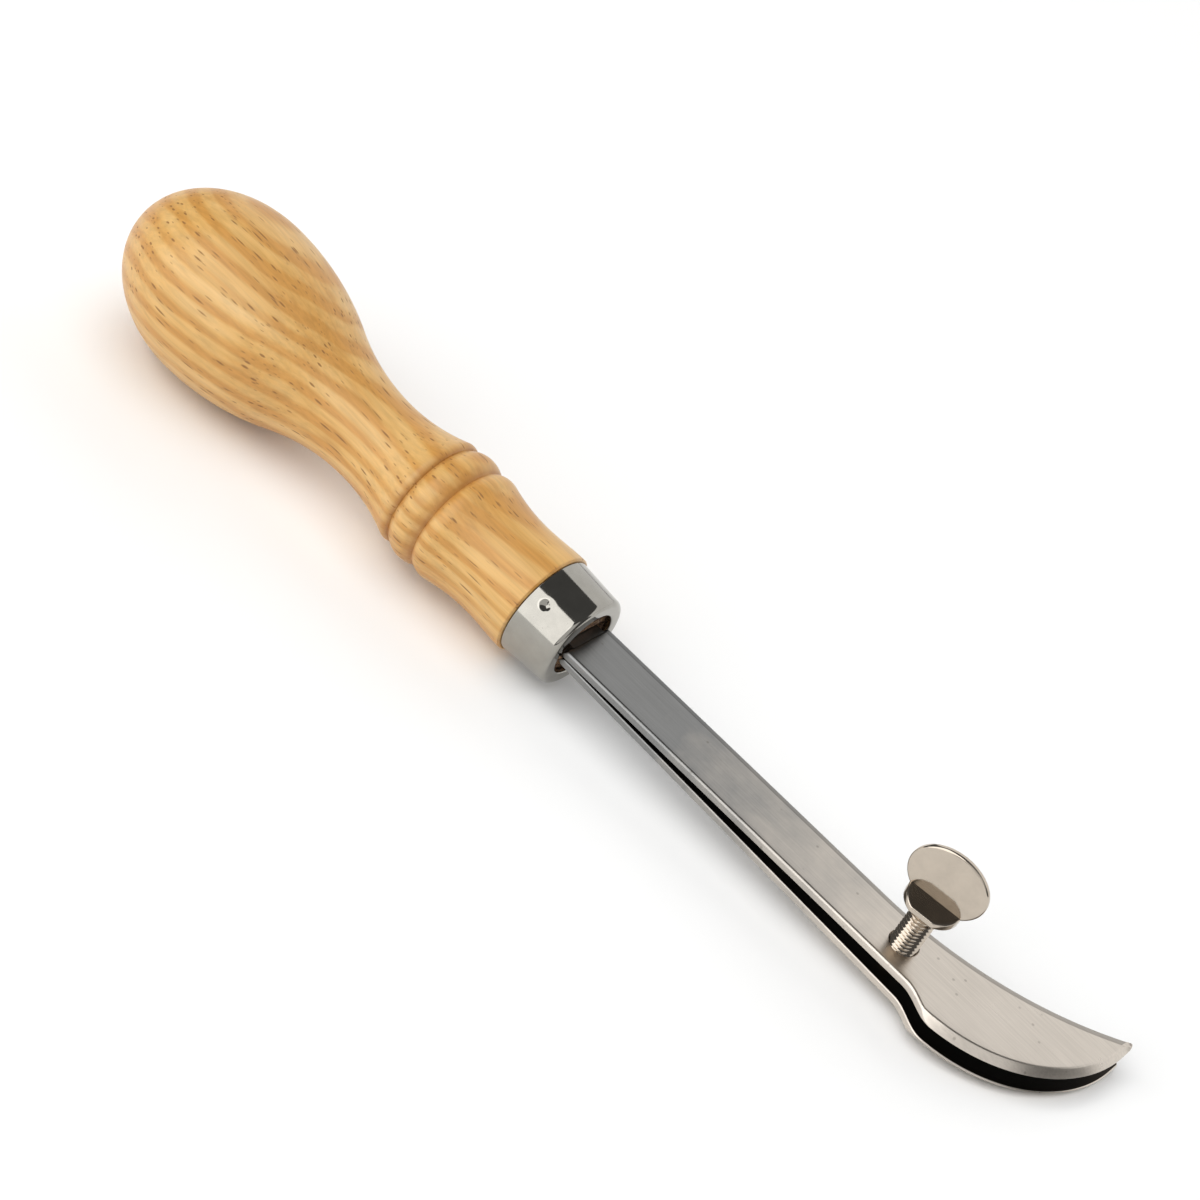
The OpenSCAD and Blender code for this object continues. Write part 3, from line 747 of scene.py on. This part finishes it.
def thumbScrew():
    s = screwSize
    half = leafSize["thickness"] / 2
    reach = leafSize["holeAt"] - flexX / mm
    # down the screw's axis to the other leaf's inner face
    drop = reach * math.sin(2 * spread) + 2 * flexZ / mm * math.cos(spread) - half
    tip = s["seatGap"] - drop / math.cos(2 * spread)
    collarBottom = half + s["collarAt"]
    headTop = half + s["headTop"]
    core = s["radius"] - s["depth"]
    turn = np.linspace(0, 2 * math.pi, s["columns"], endpoint=False)
    # shank: the thread is a ridge that climbs one pitch a turn, fading out at both ends
    z = np.arange(tip + s["domeLength"], collarBottom - 0.02, s["pitch"] / 14)
    phase = np.mod(z[:, None] / s["pitch"] - turn / (2 * math.pi), 1.0)
    ridge = np.clip(1.12 - 2.3 * np.abs(phase - 0.5), 0, 1)
    fade = smoothStep((z - z[0]) / 0.8) * smoothStep((collarBottom - 0.15 - z) / 0.5)
    shank = core + s["depth"] * ridge * fade[:, None]
    rows = [(np.zeros(len(turn)), tip)]
    rows += [(np.full(len(turn), s["endRadius"] * math.sin(a)), tip + 0.22 * (1 - math.cos(a)))
             for a in np.radians((30, 60, 90))]
    rows += [(np.full(len(turn), s["endRadius"] + (core - s["endRadius"]) * t),
              tip + 0.22 + (s["domeLength"] - 0.24) * t) for t in (0.4, 0.75, 0.95)]
    rows += [(shank[i], height) for i, height in enumerate(z)]
    # collar: round with two flats, and shoulders that slope up from the flats to the head
    bottom, thick, flatY = collarBottom, s["collarThickness"], s["collarFlat"]
    wide = np.minimum(s["collarRadius"], flatY / np.maximum(np.abs(np.sin(turn)), 1e-6))

    def shoulder(r):
        share = (flatY - np.abs(r * np.sin(turn))) / (flatY - s["headThickness"] / 2)
        return bottom + thick + s["collarRise"] * share
    low, high = s["lowerRound"], s["upperRound"]
    rows += [(np.full(len(turn), core + 0.02), bottom - 0.02),
             (np.full(len(turn), core + 0.25), bottom)]
    rows += [(wide - low + low * math.sin(a), bottom + low - low * math.cos(a))
             for a in np.radians((0, 30, 60, 90))]
    rows += [(wide - high + high * math.cos(a), shoulder(wide - high) - high + high * math.sin(a))
             for a in np.radians((0, 22, 45, 67, 90))]
    rows += [(wide * share, shoulder(wide * share)) for share in (0.75, 0.5, 0.25, 0.0)]
    radius = np.stack([row[0] for row in rows])
    height = np.stack([row[1] + 0 * turn for row in rows])
    stem = np.stack([radius * np.cos(turn), radius * np.sin(turn), height], -1)

    # head: an oval plate with a rounded rim, cut off inside the collar
    centre = headTop - s["headHalfHeight"]
    rim, plate = s["rim"], s["headThickness"] / 2
    angle = turn
    oval = np.stack([s["headHalfWidth"] * np.cos(angle), s["headHalfHeight"] * np.sin(angle)], -1)
    outward = np.stack([
        np.cos(angle) / s["headHalfWidth"], np.sin(angle) / s["headHalfHeight"]], -1)
    outward /= np.linalg.norm(outward, axis=1)[:, None]
    section = [(0.0, -plate, 0), (0.5, -plate, 0)]
    corner = np.radians(np.linspace(0, 90, 8))
    section += [(1.0, -plate + rim * (1 - math.cos(a)), rim * (1 - math.sin(a))) for a in corner]
    section += [(1.0, plate - rim * (1 - math.cos(a)), rim * (1 - math.sin(a)))
                for a in corner[::-1]]
    section += [(0.5, plate, 0), (0.0, plate, 0)]
    rings = []
    for share, side, inset in section:
        flat = (oval - outward * inset) if share == 1.0 else (oval - outward * rim) * share
        up = np.maximum(centre + flat[:, 1], collarBottom + thick / 2)
        rings.append(np.stack([flat[:, 0], np.full(len(angle), side), up], -1))
    head = np.stack(rings)

    # onto the upper leaf: turned about the screw's axis, then leaned with the leaf
    turnHead = math.radians(s["headTurn"])
    placed = []
    for grid, closed in ((stem, True), (head, True)):
        x = grid[..., 0] * math.cos(turnHead) - grid[..., 1] * math.sin(turnHead)
        y = grid[..., 0] * math.sin(turnHead) + grid[..., 1] * math.cos(turnHead)
        x = x + reach
        z = grid[..., 2]
        placed.append((np.stack([
            flexX / mm + x * math.cos(spread) - z * math.sin(spread), y,
            flexZ / mm + x * math.sin(spread) + z * math.cos(spread)], -1) * mm, closed))
    piece = makePiece(
        "plated_thumb_screw", placed, "thumb_screw", ["thumb_screw"], 38)
    piece.data.materials.append(nickelMaterial(
        "bright nickel plate", nickelLook["screw"], nickelLook["screwRoughness"], 2))


leafSteel = steelMaterial()
handle()
ferrule()
leaf("upper_leaf_steel", "upper_leaf", "upper_leaf", 1, True)
leaf("lower_leaf_steel", "lower_leaf", "lower_leaf", -1, False)
thumbScrew()
for name in ("upper_tang", "lower_tang"):
    tang = frame["nodes"][name]
    tang.data.materials.clear()
    tang.data.materials.append(leafSteel)
print("pieces made")


studio = {
    "floor": (0.96, 0.96, 0.955), "floorSize": 6.0, "floorRoughness": 0.9, "floorShine": 0.1,
    "contactBack": 3 * mm, "contactSide": 6 * mm,  # where the lower leaf touches the floor
    "panelDistance": 2.2,
    "world": (0.9, 0.9, 0.9), "worldStrength": 0.12,
    "cameraAzimuth": 21.74, "cameraElevation": 39.64, "cameraRoll": 30.16, "lens": 87.8,
    "aim": (-0.0013, 0.0021, 0.0224), "cameraDistance": 0.480,
}

# direction and angular size in degrees, as panel() takes them
panels = {
    "left_window": {"azimuth": -32, "elevation": 30, "across": 58, "tall": 61, "radiance": 2.0},
    "back_panel": {"azimuth": 172, "elevation": 29, "across": 110, "tall": 56, "radiance": 0.95},
    "front_card": {"azimuth": 34, "elevation": 30, "across": 62, "tall": 50, "radiance": 0.75,
                   "diffuse": False},
    "top_fill": {"azimuth": -20, "elevation": 78, "across": 60, "tall": 60, "radiance": 1.7,
                 "mirrored": False},
}


def stageFloor():
    # a plain plane that touches the bulb and the lower leaf's edge, as the tool lies
    bulbCentre = Vector((
        handleLow.x + handleSize["buttLength"] * mm, toolOrigin[1], toolOrigin[2]))
    lowerLow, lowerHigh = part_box("lower_leaf")
    contact = Vector((
        lowerHigh.x - studio["contactBack"], toolOrigin[1] + studio["contactSide"], lowerLow.z))
    # plane through the contact, along Y, and tangent to the bulb's circle
    reach = Vector((contact.x - bulbCentre.x, 0, contact.z - bulbCentre.z))
    lean = math.atan2(reach.z, reach.x) + math.asin(handleSize["bulbRadius"] * mm / reach.length)
    middle = Vector((0, 0, contact.z + math.tan(lean) * (0 - contact.x)))
    mesh = bpy.data.meshes.new("studio_floor")
    h = studio["floorSize"] / 2
    corners = [(-h, -h, 0), (h, -h, 0), (h, h, 0), (-h, h, 0)]
    turned = Matrix.Rotation(-lean, 4, "Y")
    mesh.from_pydata([tuple(turned @ Vector(p) + middle) for p in corners], [], [(0, 1, 2, 3)])
    floor = bpy.data.objects.new("studio_floor", mesh)
    bpy.context.scene.collection.objects.link(floor)
    material, *_, shader = newMaterial("pale paper")
    shader.inputs["Base Color"].default_value = (*studio["floor"], 1)
    shader.inputs["Roughness"].default_value = studio["floorRoughness"]
    shader.inputs["Specular IOR Level"].default_value = studio["floorShine"]
    mesh.materials.append(material)
    print("floor lean", round(math.degrees(lean), 2))


def panel(name, azimuth, elevation, across, tall, radiance, mirrored=True, diffuse=True):
    # a soft panel that faces the tool, given by its direction and its angular size in degrees. Its
    # power gives the stated radiance. mirrored=False lights the scene but doesn't show in bright
    # metal, and diffuse=False shows in bright metal only.
    distance = studio["panelDistance"]
    side, up = math.radians(azimuth), math.radians(elevation)
    away = Vector((math.sin(side) * math.cos(up), -math.cos(side) * math.cos(up), math.sin(up)))
    light = bpy.data.lights.new(name, "AREA")
    light.shape = "RECTANGLE"
    light.size = 2 * distance * math.tan(math.radians(across / 2))
    light.size_y = 2 * distance * math.tan(math.radians(tall / 2))
    light.energy = radiance * light.size * light.size_y * math.pi
    lamp = bpy.data.objects.new(name, light)
    lamp.location = away * distance
    lamp.rotation_euler = away.to_track_quat("Z", "Y").to_euler()
    lamp.visible_glossy = mirrored
    lamp.visible_diffuse = diffuse
    bpy.context.scene.collection.objects.link(lamp)


def lights():
    for name, settings in panels.items():
        panel(name, **settings)
    world = bpy.data.worlds.new("studio")
    world.use_nodes = True
    background = world.node_tree.nodes["Background"]
    background.inputs[0].default_value = (*studio["world"], 1)
    background.inputs[1].default_value = studio["worldStrength"]
    bpy.context.scene.world = world


def camera():
    data = bpy.data.cameras.new("camera")
    data.lens, data.sensor_width = studio["lens"], 36
    data.clip_start, data.clip_end = 0.01, 20
    eye = bpy.data.objects.new("camera", data)
    azimuth, elevation, roll = (
        math.radians(studio[key]) for key in ("cameraAzimuth", "cameraElevation", "cameraRoll"))
    back = Vector((
        math.sin(azimuth) * math.cos(elevation), -math.cos(azimuth) * math.cos(elevation),
        math.sin(elevation)))
    level = (-back).to_track_quat("-Z", "Y").to_matrix()
    eye.rotation_euler = (level @ Matrix.Rotation(roll, 3, "Z")).to_euler()
    eye.location = Vector(studio["aim"]) + back * studio["cameraDistance"]
    bpy.context.scene.collection.objects.link(eye)
    bpy.context.scene.camera = eye


stageFloor()
lights()
camera()
bpy.context.scene.view_settings.view_transform = "Standard"
print("studio ready")
